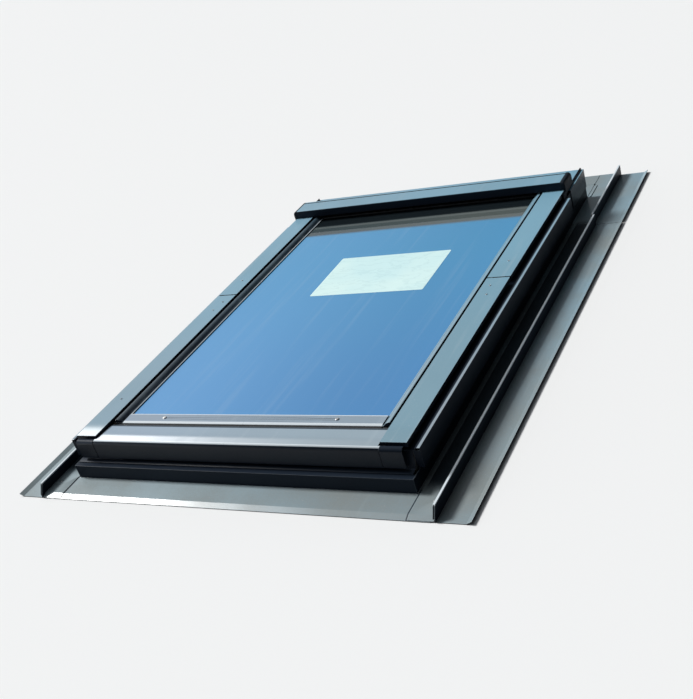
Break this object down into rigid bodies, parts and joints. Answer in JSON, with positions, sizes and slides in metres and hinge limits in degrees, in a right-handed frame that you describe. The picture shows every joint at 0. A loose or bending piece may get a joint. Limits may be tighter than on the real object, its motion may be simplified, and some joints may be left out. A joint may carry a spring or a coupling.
{
  "type": "roof window",
  "caption": "Centre-pivot roof window: timber frame and sash under lacquered metal covers, insulating glass, hood, control bar and sheet flashing for a flat roof covering.",
  "frame": {"origin": "centre of the four roof bracket screw holes, in the plane of the roof deck (the underside of frame and flashing)", "axes": "+X to the right seen from outside, +Y up the slope, +Z out of the roof"},
  "size_m": [1.0054, 1.3882, 0.11],
  "materials": {
    "bar_aluminium": "satin anodised",
    "bead_coat": "gloss",
    "cap_moulding": "matt",
    "cover_lacquer": "satin lacquer on aluminium",
    "filter_foam": "matt",
    "fitting_steel": "zinc plated",
    "flashing_lacquer": "satin lacquer on aluminium sheet",
    "pane": "clear",
    "pine": "clear lacquer",
    "screw_steel": "bright",
    "seal_rubber": "matt",
    "spacer_metal": "satin"
  },
  "bodies": {
    "frame": {"barrel_bolt_bushes": "fitting_steel", "flashing_apron": "flashing_lacquer", "flashing_head": "flashing_lacquer", "flashing_side_left": "flashing_lacquer", "flashing_side_right": "flashing_lacquer", "frame_bottom_cover": "cover_lacquer", "frame_bottom_timber": "pine", "frame_gaskets": "seal_rubber", "frame_left_timber": "pine", "frame_right_timber": "pine", "frame_top_cover": "cover_lacquer", "frame_top_timber": "pine", "hinge_track_left": "fitting_steel", "hinge_track_right": "fitting_steel", "hood": "cover_lacquer", "hood_cap_left": "cap_moulding", "hood_cap_right": "cap_moulding", "roof_bracket_lower_left": "fitting_steel", "roof_bracket_lower_right": "fitting_steel", "roof_bracket_upper_left": "fitting_steel", "roof_bracket_upper_right": "fitting_steel", "side_cladding_left": "cover_lacquer", "side_cladding_right": "cover_lacquer", "strike_plate": "fitting_steel", "upper_side_cover_left": "cover_lacquer", "upper_side_cover_right": "cover_lacquer"},
    "sash": {"air_filter": "filter_foam", "barrel_bolt_case": "fitting_steel", "bottom_glazing_strip": "cover_lacquer", "control_bar_lugs": "bar_aluminium", "edge_seal": "seal_rubber", "glazing_strip_screws": "screw_steel", "glazing_tape": "seal_rubber", "hinge_shoe_left": "fitting_steel", "hinge_shoe_right": "fitting_steel", "inner_pane": "pane", "latch_case": "fitting_steel", "lower_side_cover_left": "cover_lacquer", "lower_side_cover_right": "cover_lacquer", "outer_pane": "pane", "sash_bottom_cover": "cover_lacquer", "sash_bottom_timber": "pine", "sash_left_timber": "pine", "sash_right_timber": "pine", "sash_top_timber": "pine", "setting_blocks": "seal_rubber", "side_bead_left": "cover_lacquer", "side_bead_right": "cover_lacquer", "spacer_bar": "spacer_metal", "strip_gasket": "seal_rubber", "top_bead": "bead_coat", "vent_flap_bearings": "bar_aluminium"},
    "control_bar": {"control_bar": "bar_aluminium"},
    "vent_flap": {"vent_flap": "bar_aluminium"},
    "latch": {"latch_tongue": "fitting_steel"},
    "barrel_bolt": {"barrel_bolt": "fitting_steel"}
  },
  "joints": [
    {"name": "sash_pivot", "type": "hinge", "parent": "frame", "child": "sash", "pos_m": [0, 0.02, 0.09], "axis": [-1, 0, 0], "range_deg": [0, 160]},
    {"name": "control_bar_hinge", "type": "hinge", "parent": "sash", "child": "control_bar", "pos_m": [0, 0.524, 0.01], "axis": [-1, 0, 0], "range_deg": [0, 50]},
    {"name": "vent_flap_hinge", "type": "hinge", "parent": "sash", "child": "vent_flap", "pos_m": [0, 0.5215, 0.0675], "axis": [-1, 0, 0], "range_deg": [0, 50]},
    {"name": "latch_slide", "type": "slide", "parent": "sash", "child": "latch", "axis": [0, 1, 0], "range_m": [0, 0.012]},
    {"name": "bolt_slide", "type": "slide", "parent": "sash", "child": "barrel_bolt", "axis": [1, 0, 0], "range_m": [0, 0.016]}
  ],
  "couplings": [
    {"joint": "vent_flap_hinge", "follows": "control_bar_hinge", "ratio": 1}
  ]
}
